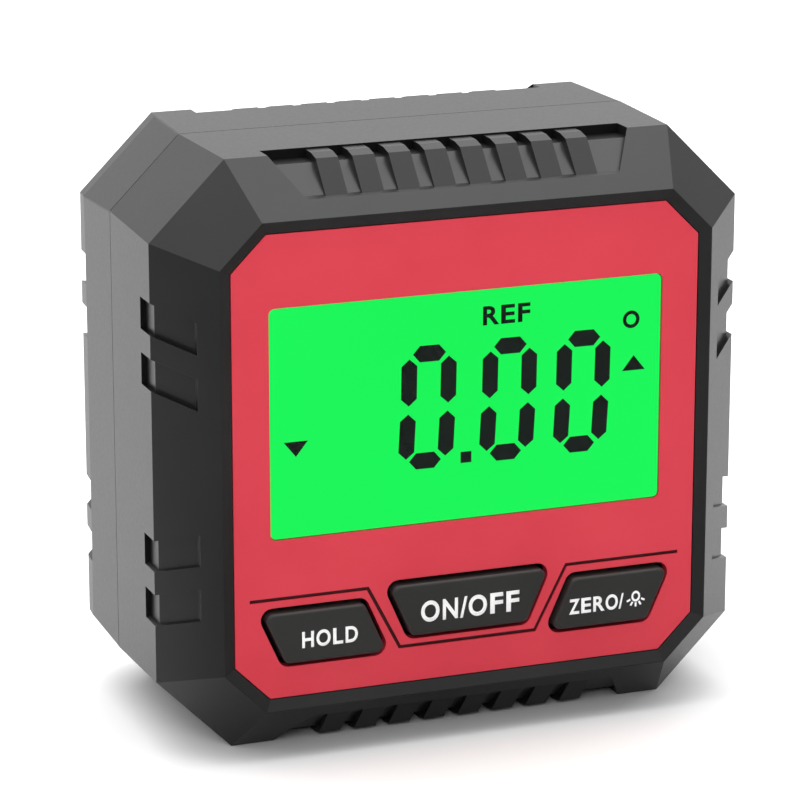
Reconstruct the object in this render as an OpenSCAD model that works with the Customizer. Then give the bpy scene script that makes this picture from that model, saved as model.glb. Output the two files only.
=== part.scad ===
// Digital angle gauge: a corner-cut box housing in two moulded shells, with a red
// face panel, a backlit display, three keys, ribbed grips and a magnetic base.
// X runs across the face, the face looks along -Y, and the gauge stands on Z = 0.

/* [Housing] */
// Width across the flat sides
body_w = 60; // [59:0.5:66]
// Height from the base to the flat top
body_h = 58; // [57:0.5:64]
// Depth from the rim round the face to the back
body_d = 33.3; // [32:0.1:40]
// Depth of the bevel in front of the front shoulder
front_bevel = 5.6; // [5:0.1:7]
// How far the front bevel leans in
front_lean = 5.05; // [4.6:0.05:5.6]
// Depth of the straight side from the parting line to the back shoulder
back_side = 11; // [10.6:0.1:14]
// Depth of the bevel behind the back shoulder
back_bevel = 4.2; // [3.6:0.1:5]
// How far the back bevel leans in
back_lean = 4; // [3.4:0.1:4.4]
// Corner cut at the parting line
corner_cut = 7; // [6:0.1:8]
// Extra corner cut that the mould's draft gives at each shoulder
corner_draft = 0.45; // [0.2:0.05:0.8]
// Corner cut of the rim round the face
rim_cut = 4.2; // [3.6:0.1:4.8]
// Wall of both shells
wall = 2.4; // [2.2:0.1:2.8]
// Wall between the face panel and the inside
front_wall = 1.7; // [1.4:0.1:2.2]
// Width of the fine groove along the parting line
parting_gap = 0.1; // [0.1:0.05:0.3]
// Depth of that groove
parting_depth = 0.2; // [0.2:0.1:1]
// Height of the lip that centres the shells on each other
lip_h = 1.5; // [1:0.1:2.5]
// Thickness of that lip
lip_t = 1; // [0.8:0.1:1.4]
// Clearance round that lip
lip_gap = 0.15; // [0.1:0.05:0.3]
// How far the side's back edge tapers in
edge_taper_w = 0.2; // [0:0.05:0.4]

/* [Grips] */
// Ribs in each grip
rib_count = 8; // [5:1:9]
// Pitch of the ribs
rib_pitch = 3.62; // [3.2:0.02:3.8]
// Width of a rib
rib_w = 2.2; // [1.8:0.1:2.6]
// Drop of the rib tops below the flat top
rib_drop = 0.16; // [0.08:0.02:0.3]
// Half length of the chamfer where a rib turns from the flat top to its front
rib_turn = 0.7; // [0.4:0.05:0.8]
// How far a rib's front stands out of the bevel at that turn
rib_rise = 0.18; // [0:0.02:0.3]
// How deep a rib is rooted in the shell
rib_root = 0.3; // [0.2:0.05:0.5]
// Width of the grip on the flat top
grip_w = 36.6; // [34:0.2:38]
// How much narrower the grip is at its outer edge
grip_taper = 5; // [3:0.2:6]
// How far a front grip runs onto the flat top
grip_run = 2.3; // [1.6:0.1:2.6]
// How far a back grip runs onto the flat top
grip_run_back = 1.9; // [1.4:0.1:2.4]
// Depth of the grip below the flat top
grip_depth = 0.95; // [0.7:0.05:1.1]
// Depth of the grip below the bevel at the ledge that ends it
grip_sink = 0.6; // [0.4:0.05:0.7]
// Length of that ledge
grip_ledge = 0.8; // [0.7:0.05:1.2]
// Share of the bevel that the grip covers
grip_share = 0.7; // [0.5:0.01:0.75]
// Height of a side pocket
pocket_h = 3.1; // [2.6:0.1:3.6]
// Distance between the two pockets of a pair
pocket_pitch = 5.4; // [4.6:0.1:6]
// Height of a pair's middle above or below the gauge's middle
pocket_z = 11.6; // [10:0.1:12.5]
// Depth of a pocket
pocket_depth = 0.5; // [0.3:0.05:0.8]
// How far a pocket runs back onto the straight side at the front
pocket_run = 3; // [2.5:0.1:4]
// How far a pocket runs onto the straight side at the back
pocket_run_back = 2.1; // [1.5:0.1:3]
// How far a pocket reaches across the bevel, seen from the front
pocket_reach = 3.4; // [2.6:0.1:3.8]
// Lean of the pockets towards the gauge's middle
pocket_lean = 1.3; // [0.8:0.1:1.8]

/* [Face] */
// Width of the sloping rim round the panel
rim_w = 1.25; // [1:0.05:1.6]
// Depth of the panel's face behind the rim
panel_recess = 0.5; // [0.3:0.05:0.8]
// Thickness of the face panel
panel_t = 1.2; // [1:0.1:1.6]
// Clearance round the panel and the lens
panel_gap = 0.1; // [0.05:0.05:0.2]
// Distance from the face's edge to the side of the display window
window_margin = 4.9; // [4.7:0.1:7]
// Distance from the face's upper edge to the window
window_top = 8.35; // [8:0.05:10]
// Distance from the window to the power key below it
window_gap = 5.75; // [5.5:0.05:8]
// Corner radius of the window
window_r = 0.6; // [0.4:0.1:1.5]
// Depth of the lens's face behind the panel's face
lens_recess = 0.2; // [0.1:0.05:0.4]
// Width of the flange that holds the lens behind the panel
lens_flange = 0.8; // [0.6:0.1:1]
// Thickness of that flange
lens_flange_t = 0.7; // [0.5:0.1:0.9]
// Width of the engraved line
line_w = 0.35; // [0.2:0.05:0.5]
// Depth of the engraved line
line_depth = 0.2; // [0.1:0.05:0.4]
// Distance from a side key to the engraved line above it
line_rise = 1.3; // [1:0.05:1.6]
// Distance from the power key to the engraved line below it
line_drop = 1.1; // [0.9:0.1:1.4]
// Distance from the power key's upper end to the engraved line beside it
line_clear = 2.02; // [1.9:0.02:2.4]
// Sideways slant of the engraved line between its two runs
line_slant = 3.26; // [2.8:0.02:3.6]
// Distance from the upper run's outer end to the panel's edge
line_margin = 1.5; // [1:0.1:3]

/* [Keys] */
// Distance from a side key's outer end to the panel's edge
key_margin = 2.64; // [2.4:0.02:3.2]
// Distance between neighbouring keys at mid height
key_spacing = 2.54; // [2.4:0.02:3]
// Share of the key row that the power key takes
power_share = 0.3575; // [0.33:0.0025:0.38]
// Height of the power key
power_key_h = 5.25; // [4.8:0.05:5.4]
// Distance from the face's lower edge to the power key
key_base = 5.95; // [5.6:0.05:6.1]
// Height of a side key
side_key_h = 5.15; // [4.8:0.05:5.4]
// How much lower the side keys sit than the power key
side_key_drop = 1.3; // [1:0.1:1.6]
// Sideways slant of a key's ends over its height
key_slant = 2.3; // [1.9:0.1:2.6]
// Corner radius of a key
key_r = 0.7; // [0.5:0.1:1]
// Chamfer round a key's face
key_chamfer = 0.2; // [0.1:0.05:0.3]
// Gap between a key and its opening
key_gap = 0.45; // [0.35:0.05:0.5]
// How far the keys stand in front of the rim
key_proud = 0.1; // [0.05:0.05:0.6]
// Width of the flange that keeps a key in
key_flange = 0.45; // [0.4:0.05:0.5]
// Thickness of that flange
key_flange_t = 0.8; // [0.6:0.1:1]
// Travel of a key
key_travel = 0.5; // [0.3:0.05:0.6]
// Running gap between a flange and the wall in front of it
flange_gap = 0.1; // [0.05:0.05:0.2]
// Length of the nub that presses the switch
nub_l = 0.4; // [0.3:0.1:0.6]
// Side of a switch body
switch_w = 6; // [5:0.1:6.2]
// Radius of a switch plunger
plunger_r = 1.6; // [1.2:0.1:2]
// Running clearance of the plunger in its bore
plunger_gap = 0.05; // [0.03:0.01:0.08]
// How far the plunger stands out of the switch body at rest
plunger_out = 0.8; // [0.7:0.05:1]

/* [Display and board] */
// Border of the display glass round the window
lcd_border = 1.2; // [1:0.1:1.4]
// How far the front glass laps behind the window's edge
lcd_lap = 0.35; // [0.2:0.05:0.4]
// Contact ledge below the display's border
lcd_ledge = 2; // [1.6:0.1:2.2]
// Thickness of the display glass
lcd_t = 2; // [1.6:0.1:2.4]
// Thickness of the light guide
guide_t = 2.6; // [2:0.1:3]
// Wall of the display frame
frame_wall = 0.8; // [0.6:0.1:1]
// Back plate of the display frame
frame_back = 0.6; // [0.5:0.1:0.8]
// Clearance of the parts in the display frame
frame_gap = 0.15; // [0.1:0.05:0.2]
// Width of the backlight's light bar
led_w = 1.6; // [1.2:0.1:2]
// Length of the light bar
led_l = 10; // [8:0.5:14]
// Thickness of the circuit board
board_t = 1.6; // [1.2:0.1:2]
// Gap between the circuit board and the side walls
board_gap = 1.6; // [1.2:0.1:2]
// Gap between the board's upper edge and the case bosses above it
board_gap_top = 0.8; // [0.6:0.1:1.4]
// Gap between the board's lower edge and the base wall
board_gap_base = 2.4; // [2:0.1:2.6]
// Corner cut at the board's lower edge
board_cut = 13; // [12.8:0.1:14]
// Distance of the lower board screw from the board's lower edge
board_edge = 2.2; // [2:0.1:2.4]
// Gap between the display frame and the board bosses beside it
boss_gap = 0.4; // [0.3:0.05:0.5]
// Height of the side board screws above the gauge's middle
board_screw_z = 2.5; // [0:0.5:8]
// Side of the controller chip
chip_w = 10; // [8:0.5:12]
// Height of the controller chip
chip_t = 1.6; // [1.2:0.1:2]
// Side of the tilt sensor
sensor_w = 5; // [4:0.5:6]
// Height of the tilt sensor
sensor_t = 1.4; // [1:0.1:2]
// Radius of the crystal can
crystal_r = 1; // [0.8:0.1:1.5]
// Length of the crystal can
crystal_l = 6; // [5:0.5:8]

/* [Battery bay] */
// Diameter of a AAA cell
cell_d = 10.5; // [10:0.1:10.6]
// Length of a AAA cell with its cap
cell_l = 44.5; // [43.5:0.1:44.6]
// Diameter of the cell's cap
cap_d = 3.8; // [3.4:0.1:4.2]
// Length of the cell's cap
cap_l = 1; // [0.8:0.1:1.2]
// Clearance round a cell
cell_gap = 0.35; // [0.2:0.05:0.5]
// Room for the contacts at each end of the bay
contact_depth = 2.2; // [2:0.1:2.6]
// Wall of the battery bay
bay_wall = 1.2; // [1:0.1:1.4]
// Thickness of the contact sheet
contact_t = 0.4; // [0.3:0.05:0.5]
// Width of a contact plate
contact_w = 8; // [7:0.5:9]
// Width of a contact's solder tail
tail_w = 2; // [1.5:0.1:2.5]
// Clearance round a solder tail where it leaves the bay
tail_gap = 0.3; // [0.2:0.05:0.5]
// Radius of a contact's raised dimple at its foot
dimple_r = 2.2; // [1.8:0.1:2.6]
// Radius of a contact's raised dimple at its tip
dimple_tip_r = 1.5; // [1.2:0.1:1.7]
// Wire of the coil springs
wire_d = 0.5; // [0.4:0.05:0.6]
// Coils of a spring
spring_turns = 2; // [1.5:0.5:3]
// Radius of a spring's wide end
spring_r = 3.4; // [3:0.1:3.8]
// Radius of a spring's narrow end
spring_tip_r = 2.2; // [1.8:0.1:2.6]
// Thickness of the battery door
door_t = 1.6; // [1.4:0.1:1.8]
// Width of the ledge that the door sits on
door_ledge = 1.2; // [1:0.1:1.4]
// Gap round the battery door
door_gap = 0.2; // [0.15:0.05:0.3]
// Corner radius of the battery door
door_r = 1.5; // [1:0.1:2]
// Width of a door tab
tab_w = 6; // [5:0.5:8]
// Distance of a door tab from the middle
tab_x = 14; // [12:0.5:16]
// Thickness of a door tab
tab_t = 0.8; // [0.7:0.1:0.9]
// How far a tab reaches under the ledge
tab_reach = 0.8; // [0.6:0.1:1]
// Clearance behind the tabs, which lets the door swing
tab_gap = 0.4; // [0.35:0.05:0.5]
// Width of the door's latch tongue
latch_w = 9; // [7:0.5:12]
// How far the latch reaches under the ledge
latch_reach = 0.4; // [0.3:0.05:0.5]
// Radius of the finger notch above the latch
notch_r = 4.5; // [4:0.1:5.5]

/* [Base and screws] */
// Radius of a base magnet
magnet_r = 3.4; // [2.5:0.1:3.6]
// Thickness of a base magnet
magnet_t = 3; // [2:0.1:3.4]
// Distance between the base magnets
magnet_pitch = 16; // [12:0.5:17]
// Distance of the magnets behind the parting line
magnet_y = 4.8; // [4.6:0.1:5]
// Depth of the magnets behind the base's surface
magnet_sink = 0.15; // [0.1:0.05:0.3]
// Radial gap round a magnet
magnet_gap = 0.1; // [0.05:0.05:0.2]
// Wall of the cup round a magnet
magnet_cup = 1; // [0.8:0.1:1.4]
// Distance of the upper case screws from the side
top_screw_x = 9.5; // [9:0.1:11]
// Distance of the upper case screws from the flat top
top_screw_z = 7.7; // [7.4:0.1:8]
// Distance of the lower case screws from the side
base_screw_x = 7.8; // [7.6:0.1:8.4]
// Distance of the lower case screws from the base
base_screw_z = 9; // [8.8:0.1:9.4]
// Shank radius of the case screws
screw_r = 1; // [0.8:0.05:1.1]
// Head radius of the case screws
head_r = 1.9; // [1.7:0.05:2]
// Head height of the case screws
head_h = 1.4; // [1.2:0.1:1.6]
// Length of the case screws below the head
screw_l = 10; // [8:0.5:12]
// Height of the post floor that the screw heads press on
post_floor = 3; // [2:0.1:4]
// Wall round the screw holes
post_wall = 0.8; // [0.7:0.05:0.9]
// Radius of the screw bosses in the front shell
boss_r = 2.4; // [2.2:0.1:2.6]
// Shank radius of the board screws
board_screw_r = 0.7; // [0.6:0.05:0.8]
// Radius of the bosses under the board
board_boss_r = 1.7; // [1.5:0.1:1.8]
// Clearance between a screw and its hole
hole_gap = 0.05; // [0.03:0.01:0.08]
// Clearance between a screw and a hole that it only passes through
pass_gap = 0.25; // [0.2:0.05:0.3]

/* [Hidden] */
$fn = 48;
shell_grey = "#3c3c3e";
key_grey = "#3a3a3c";
nickel = "#b9b9b4";
over = 1;                 // how far a cut runs past the surface it opens
arc_steps = 6;            // straight steps in a rounded corner

// Depths along Y, from the key faces to the back
front_side = body_d - front_bevel - back_side - back_bevel;
key_y = -(body_d + key_proud) / 2;
rim_y = key_y + key_proud;
front_shoulder_y = rim_y + front_bevel;
split_y = front_shoulder_y + front_side;
back_shoulder_y = split_y + back_side;
back_y = back_shoulder_y + back_bevel;
mid_z = body_h / 2;
panel_y = rim_y + panel_recess;
seat_y = panel_y + panel_t;
inner_y = seat_y + front_wall;
lens_y = panel_y + lens_recess;
guide_y = inner_y + lcd_t;
frame_back_y = guide_y + guide_t;
board_y = frame_back_y + frame_back;
board_back_y = board_y + board_t;
flange_y = inner_y + flange_gap;
nub_y = flange_y + key_flange_t;
plunger_y = nub_y + nub_l;
switch_y = plunger_y + plunger_out;
door_y = back_y - door_t;
cell_y = door_y - cell_gap - cell_d / 2;
bay_y = cell_y - cell_d / 2 - cell_gap;

// Corner cuts and the lengths of the two bevels
corner_k = 2 - sqrt(2);
shoulder_cut = corner_cut + corner_draft;
back_cut = shoulder_cut - back_lean * corner_k;
front_slope = norm([front_lean, front_bevel]);
back_slope = norm([back_lean, back_bevel]);
face_w = body_w - 2 * front_lean;
face_h = body_h - 2 * front_lean;

// Keys across the face
key_row = face_w - 2 * (rim_w + key_margin) - key_slant;
power_key_w = key_row * power_share;
side_key_w = (key_row - power_key_w) / 2 - key_spacing;
side_key_x = (power_key_w + side_key_w) / 2 + key_spacing;
power_key_z = (face_h - power_key_h) / 2 - key_base;
side_key_z = power_key_z + side_key_drop;
line_z = side_key_z - side_key_h / 2 - line_rise;

// Display, from the window outwards
window_w = face_w - 2 * window_margin;
window_high = face_h / 2 - window_top;
window_low = power_key_h / 2 + window_gap - power_key_z;
window_h = window_high - window_low;
window_z = (window_high + window_low) / 2;
glass_w = window_w + 2 * lcd_border;
glass_h = window_h + 2 * lcd_border + lcd_ledge;
glass_z = window_z - lcd_ledge / 2;
frame_w = glass_w + 2 * (frame_gap + frame_wall);
frame_h = glass_h + 2 * (frame_gap + frame_wall);
guide_w = glass_w - led_w - frame_gap;
guide_h = glass_h - lcd_ledge - frame_gap;
zebra_z = glass_z - glass_h / 2 + lcd_ledge / 2;

// Battery bay and door
bay_w = cell_l + 2 * contact_depth;
bay_h = 2 * cell_d + 3 * cell_gap;
cell_z = (cell_d + cell_gap) / 2;
mouth_w = cell_l + 2 * cell_gap;
recess_w = mouth_w + 2 * door_ledge;
recess_h = bay_h + 2 * door_ledge;
ledge_y = back_y - wall;
spring_l = contact_depth - contact_t;
left_x = (contact_t - bay_w) / 2;
left_face = contact_t - bay_w / 2;

// Places of the screws and the board, measured across and up from the gauge's middle
top_screw = [body_w / 2 - top_screw_x, mid_z - top_screw_z];
base_screw = [body_w / 2 - base_screw_x, base_screw_z - mid_z];
case_places = [for (s = [-1, 1], p = [top_screw, base_screw]) [s * p[0], p[1]]];
board_w = body_w - 2 * (wall + board_gap);
board_top = top_screw[1] - boss_r - board_gap_top;
board_base = mid_z - wall - board_gap_base;
board_screw_x = frame_w / 2 + boss_gap + board_boss_r;
board_places = [[-board_screw_x, board_screw_z], [board_screw_x, board_screw_z],
  [0, board_edge - board_base]];
sensor_place = [8, -16];
chip_place = [-6, -14];
crystal_place = [-16, -3];

// Outlines across the face, as points [x, z] that run anticlockwise

function octagon(w, h, cut, inset = 0) =
  let (a = w / 2 - inset, b = h / 2 - inset, c = cut - inset * corner_k)
  [[a, c - b], [a, b - c], [a - c, b], [c - a, b], [-a, b - c], [-a, c - b], [c - a, -b], [a - c, -b]];

function box(w, h, z = 0) =
  let (a = w / 2, low = z - h / 2, high = z + h / 2)
  [[a, low], [a, high], [-a, high], [-a, low]];

function side_normal(pts, i) =
  let (n = len(pts), e = pts[(i + 1) % n] - pts[i])
  [-e[1], e[0]] / norm(e);

function inset(pts, d) =
  let (n = len(pts))
  [for (i = [0 : n - 1]) let (a = side_normal(pts, (i + n - 1) % n), b = side_normal(pts, i))
    pts[i] + d * (a + b) / (1 + a * b)];

function rounded(pts, r) =
  let (n = len(pts), c = inset(pts, r))
  [for (i = [0 : n - 1], k = [0 : arc_steps])
    let (a = side_normal(pts, (i + n - 1) % n), b = side_normal(pts, i),
         turn = atan2(a[0] * b[1] - a[1] * b[0], a * b), t = atan2(-a[1], -a[0]) + turn * k / arc_steps)
    c[i] + r * [cos(t), sin(t)]];

function stroke(pts, w) =
  let (n = len(pts),
       d = [for (i = [0 : n - 2]) (pts[i + 1] - pts[i]) / norm(pts[i + 1] - pts[i])],
       m = [for (i = [0 : n - 1])
         let (u = d[max(i - 1, 0)], v = d[min(i, n - 2)]) [-u[1] - v[1], u[0] + v[0]] / (1 + u * v)])
  concat([for (i = [0 : n - 1]) pts[i] - m[i] * w / 2], [for (i = [n - 1 : -1 : 0]) pts[i] + m[i] * w / 2]);

function flip(pts) = [for (i = [len(pts) - 1 : -1 : 0]) [-pts[i][0], pts[i][1]]];

window_outline = box(window_w, window_h, window_z);
power_outline = let (w = power_key_w / 2, s = key_slant / 2, h = power_key_h / 2)
  [[w - s, -power_key_z - h], [w + s, h - power_key_z], [-w - s, h - power_key_z], [s - w, -power_key_z - h]];
hold_outline = let (w = side_key_w / 2, s = key_slant / 2, h = side_key_h / 2)
  [[w + s - side_key_x, -side_key_z - h], [w - s - side_key_x, h - side_key_z],
   [-w - s - side_key_x, h - side_key_z], [s - w - side_key_x, -side_key_z - h]];
zero_outline = flip(hold_outline);
line_low = power_key_z + power_key_h / 2 + line_drop;
line_knee = (power_key_w + key_slant) / 2 + line_clear;
line_half = [[face_w / 2 - rim_w - line_margin, -line_z], [line_knee, -line_z],
  [line_knee - line_slant, -line_low]];
line_route = concat(line_half, flip(line_half));

// Rings of points that a loft runs through, and the lofts along Y

function ring(pts, y) = [for (p = pts) [p[0], y, p[1] + mid_z]];

function front_ring(y, d) =
  let (t = (front_shoulder_y - y) / front_bevel, lean = 2 * front_lean * t)
  ring(octagon(body_w - lean, body_h - lean, shoulder_cut + (rim_cut - shoulder_cut) * t,
    d * front_slope / front_bevel), y);

function back_ring(y, d) =
  let (t = (y - back_shoulder_y) / back_bevel, lean = 2 * back_lean * t)
  ring(octagon(body_w - 2 * edge_taper_w - lean, body_h - lean, shoulder_cut + (back_cut - shoulder_cut) * t,
    d * back_slope / back_bevel), y);

function front_rings(d, y) = [
  front_ring(y, d),
  ring(octagon(body_w, body_h, shoulder_cut, d),
    front_shoulder_y + d * (front_slope - front_bevel) / front_lean),
  ring(octagon(body_w, body_h, corner_cut, d), split_y)
];

function back_rings(d, y) = [
  ring(octagon(body_w, body_h, corner_cut, d), split_y),
  ring(octagon(body_w, body_h, corner_cut + corner_draft * (1 - pocket_run_back / back_side), d),
    back_shoulder_y - pocket_run_back),
  ring(octagon(body_w - 2 * edge_taper_w, body_h, shoulder_cut, d),
    back_shoulder_y - d * (back_slope - back_bevel) / back_lean),
  back_ring(y, d)
];

module loft(rings) {
  n = len(rings[0]);
  last = len(rings) - 1;
  front_cap = [for (j = [n - 1 : -1 : 0]) j];
  back_cap = [for (j = [0 : n - 1]) last * n + j];
  sides = [for (i = [0 : last - 1], j = [0 : n - 1])
    [i * n + j, i * n + (j + 1) % n, (i + 1) * n + (j + 1) % n, (i + 1) * n + j]];
  polyhedron(points = [for (r = rings) each r], faces = concat([front_cap, back_cap], sides));
}

// A flat outline made solid between two depths
module slab(y0, y1) {
  translate([0, y1, mid_z]) rotate([90, 0, 0]) linear_extrude(y1 - y0) children();
}

// A round bar along Y at a place on the face
module bar(place, r, y0, y1) {
  translate([place[0], y0, mid_z + place[1]]) rotate([-90, 0, 0]) cylinder(r = r, h = y1 - y0);
}

module upside_down() {
  translate([0, 0, body_h]) mirror([0, 0, 1]) children();
}

// Grips: side is -1 at the front and 1 at the back, and depths run outwards from the shoulder

function grip_far(side) = grip_share * (side < 0 ? front_bevel : back_bevel);
function grip_slope(side) = side < 0 ? front_lean / front_bevel : back_lean / back_bevel;
function grip_reach(side) = side < 0 ? grip_run : grip_run_back;
function shoulder_y(side) = side < 0 ? front_shoulder_y : back_shoulder_y;

function grip_floor(side) =
  let (far = grip_far(side), k = grip_slope(side), ledge = far - grip_ledge)
  [[-grip_reach(side), grip_depth], [0, grip_depth], [ledge, ledge * k + grip_sink], [far, far * k]];

// A profile of points [distance outwards from the shoulder, distance below the top], made solid along X
module grip_profile(side, w, pts) {
  turned = [for (p = pts) [shoulder_y(side) + side * p[0], body_h - p[1]]];
  translate([-w / 2, 0, 0]) rotate([90, 0, 90]) linear_extrude(w) polygon(turned);
}

module grip_cut(side) {
  turn = shoulder_y(side);
  y0 = turn - side * grip_reach(side);
  y1 = turn + side * grip_far(side);
  wide = grip_w / 2;
  narrow = (grip_w - grip_taper) / 2;
  plan = [[-wide, y0], [wide, y0], [wide, turn], [narrow, y1], [-narrow, y1], [-wide, turn]];
  intersection() {
    translate([0, 0, mid_z]) linear_extrude(body_h) polygon(plan);
    grip_profile(side, grip_w,
      concat([[-grip_reach(side), -over]], grip_floor(side), [[grip_far(side), -over]]));
  }
}

module grip_ribs(side) {
  far = grip_far(side);
  k = grip_slope(side);
  ledge = far - grip_ledge;
  foot = [(ledge + far) / 2, ((ledge + far) * k + grip_sink + rib_drop) / 2];
  root = grip_reach(side) + rib_root;
  under = [[-root, grip_depth + rib_root], [0, grip_depth + rib_root],
    [ledge, ledge * k + grip_sink + rib_root]];
  top = [foot, [rib_turn, rib_turn * k - rib_rise], [-rib_turn, rib_drop], [-root, rib_drop]];
  for (i = [0 : rib_count - 1])
    translate([(i - (rib_count - 1) / 2) * rib_pitch, 0, 0])
      grip_profile(side, rib_w, concat(under, top));
}

// Side pockets: four on each side, leaning towards the gauge's middle

module pocket_outline(z) {
  lean = z > 0 ? -pocket_lean : pocket_lean;
  edge = body_w / 2;
  tip = edge - pocket_reach;
  polygon([[-edge - over, z - pocket_h / 2], [-edge, z - pocket_h / 2], [-tip, z + lean - pocket_h / 2],
    [-tip, z + lean + pocket_h / 2], [-edge, z + pocket_h / 2], [-edge - over, z + pocket_h / 2]]);
}

module pocket_row() {
  for (pair = [-1, 1], step = [-1, 1])
    pocket_outline(pair * pocket_z + step * pocket_pitch / 2);
}

module pocket_rows() {
  pocket_row();
  mirror([1, 0]) pocket_row();
}

module front_pockets() {
  difference() {
    slab(rim_y - over, front_shoulder_y + pocket_run) pocket_rows();
    loft(front_rings(pocket_depth, rim_y + pocket_depth));
  }
}

module back_pockets() {
  difference() {
    slab(back_shoulder_y - pocket_run_back, back_y + over) pocket_rows();
    loft(back_rings(pocket_depth, back_y - pocket_depth));
  }
}

// Shells

module front_skin() {
  difference() {
    loft(front_rings(0, rim_y));
    grip_cut(-1);
    upside_down() grip_cut(-1);
    front_pockets();
  }
  grip_ribs(-1);
  upside_down() grip_ribs(-1);
}

module front_cavity() {
  mouth = ring(octagon(body_w, body_h, corner_cut, wall), split_y + over);
  loft(concat(front_rings(wall, inner_y), [mouth]));
}

module front_bosses() {
  for (p = case_places)
    bar(p, boss_r, inner_y - over, split_y);
  for (p = board_places)
    bar(p, board_boss_r, inner_y - over, board_y);
}

// Sloping rim, panel seat, lens seat, window and key openings
module face_cuts() {
  rim = octagon(face_w, face_h, rim_cut, 0);
  loft([ring(inset(rim, -panel_gap), rim_y - over), ring(inset(rim, panel_gap), rim_y),
    ring(inset(rim, rim_w - panel_gap), panel_y)]);
  slab(panel_y - over / 10, seat_y) polygon(inset(rim, rim_w - panel_gap));
  slab(seat_y - over, seat_y + lens_flange_t)
    polygon(rounded(inset(window_outline, -lens_flange - panel_gap), window_r));
  slab(seat_y, inner_y + over) polygon(rounded(inset(window_outline, -lcd_lap), window_r));
  for (k = [hold_outline, power_outline, zero_outline])
    slab(seat_y - over, inner_y + over) polygon(rounded(inset(k, -key_gap), key_r + key_gap));
}

module parting_groove() {
  difference() {
    slab(split_y - parting_gap, split_y + over) square([2 * body_w, 2 * body_h], center = true);
    slab(split_y - over, split_y + 2 * over) polygon(octagon(body_w, body_h, corner_cut, parting_depth));
  }
}

module front_shell() color(shell_grey) {
  difference() {
    union() {
      difference() {
        front_skin();
        front_cavity();
      }
      intersection() {
        front_bosses();
        loft(front_rings(wall / 2, inner_y - over));
      }
    }
    face_cuts();
    parting_groove();
    for (p = case_places)
      bar(p, screw_r + hole_gap, split_y + post_floor - screw_l - over, split_y + over);
    for (p = board_places)
      bar(p, board_screw_r + hole_gap, inner_y + over / 2, board_y + over);
  }
}

module back_skin() {
  difference() {
    loft(back_rings(0, back_y));
    grip_cut(1);
    upside_down() grip_cut(1);
    back_pockets();
  }
  grip_ribs(1);
  upside_down() grip_ribs(1);
}

module back_cavity() {
  mouth = ring(octagon(body_w, body_h, corner_cut, wall), split_y - over);
  loft(concat([mouth], back_rings(wall, ledge_y)));
}

module centring_lip() {
  difference() {
    slab(split_y - lip_h, split_y + lip_h) polygon(octagon(body_w, body_h, corner_cut, wall + lip_gap));
    slab(split_y - lip_h - over, split_y + lip_h + over)
      polygon(octagon(body_w, body_h, corner_cut, wall + lip_gap + lip_t));
  }
  difference() {
    slab(split_y, split_y + lip_h) polygon(octagon(body_w, body_h, corner_cut, wall - lip_gap));
    slab(split_y - over, split_y + lip_h + over)
      polygon(octagon(body_w, body_h, corner_cut, wall + lip_gap + lip_t));
  }
}

module bay_walls() {
  slab(bay_y - bay_wall, ledge_y + over / 2) polygon(box(bay_w + 2 * bay_wall, bay_h + 2 * bay_wall));
}

module magnet_places() {
  for (i = [-1 : 1])
    translate([i * magnet_pitch, split_y + magnet_y, 0]) children();
}

module magnet_cups() {
  magnet_places() cylinder(r = magnet_r + magnet_gap + magnet_cup, h = magnet_sink + magnet_t + magnet_cup);
}

module back_posts() {
  for (p = case_places)
    bar(p, head_r + pass_gap + post_wall, split_y, back_y);
}

module tab_slots() {
  for (s = [-1, 1])
    translate([s * tab_x, 0, 0]) slab(bay_y, ledge_y)
      polygon(box(tab_w + 2 * tab_gap, 2 * (tab_reach + door_gap), -bay_h / 2));
}

// The slot above the mouth that takes the latch's nose
module latch_slot() {
  slab(ledge_y - tab_t - 2 * door_gap, ledge_y)
    polygon(box(latch_w + 2 * tab_gap, 2 * (latch_reach + door_gap), bay_h / 2));
}

module finger_notch() {
  slab(door_y, back_y + over) intersection() {
    translate([0, recess_h / 2]) circle(r = notch_r);
    translate([-notch_r, recess_h / 2 - over]) square([2 * notch_r, notch_r / 2 + over]);
  }
}

module bay_cuts() {
  slab(bay_y, ledge_y) polygon(box(bay_w, bay_h));
  slab(ledge_y - over, back_y + over) polygon(box(mouth_w, bay_h));
  slab(door_y, back_y + over) polygon(rounded(box(recess_w, recess_h), door_r));
  tab_slots();
  latch_slot();
  finger_notch();
  for (s = [-1, 1])
    translate([left_x, 0, 0]) slab(split_y - lip_h - over, bay_y + over)
      polygon(box(contact_t + 2 * tail_gap, tail_w + 2 * tail_gap, s * cell_z));
}

module back_shell() color(shell_grey) {
  difference() {
    union() {
      difference() {
        back_skin();
        back_cavity();
      }
      centring_lip();
      intersection() {
        union() {
          bay_walls();
          magnet_cups();
          back_posts();
        }
        loft(back_rings(wall / 2, back_y - wall / 2));
      }
    }
    bay_cuts();
    magnet_places() translate([0, 0, -over])
      cylinder(r = magnet_r + magnet_gap, h = magnet_sink + magnet_t + over);
    for (p = case_places) {
      bar(p, screw_r + pass_gap, split_y - over, back_y);
      bar(p, head_r + pass_gap, split_y + post_floor, back_y + over);
    }
  }
}

// Face

module face_panel() color("#d8434f") {
  difference() {
    slab(panel_y, seat_y) polygon(octagon(face_w, face_h, rim_cut, rim_w));
    slab(panel_y - over, seat_y + over) polygon(rounded(window_outline, window_r));
    for (k = [hold_outline, power_outline, zero_outline])
      slab(panel_y - over, seat_y + over) polygon(rounded(inset(k, -key_gap), key_r + key_gap));
    slab(panel_y - over, panel_y + line_depth) polygon(stroke(line_route, line_w));
  }
}

module display_lens() color("#cfe8d6", 0.4) {
  slab(lens_y, seat_y) polygon(rounded(inset(window_outline, panel_gap), window_r - panel_gap));
  slab(seat_y, seat_y + lens_flange_t) polygon(rounded(inset(window_outline, -lens_flange), window_r));
}

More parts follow.
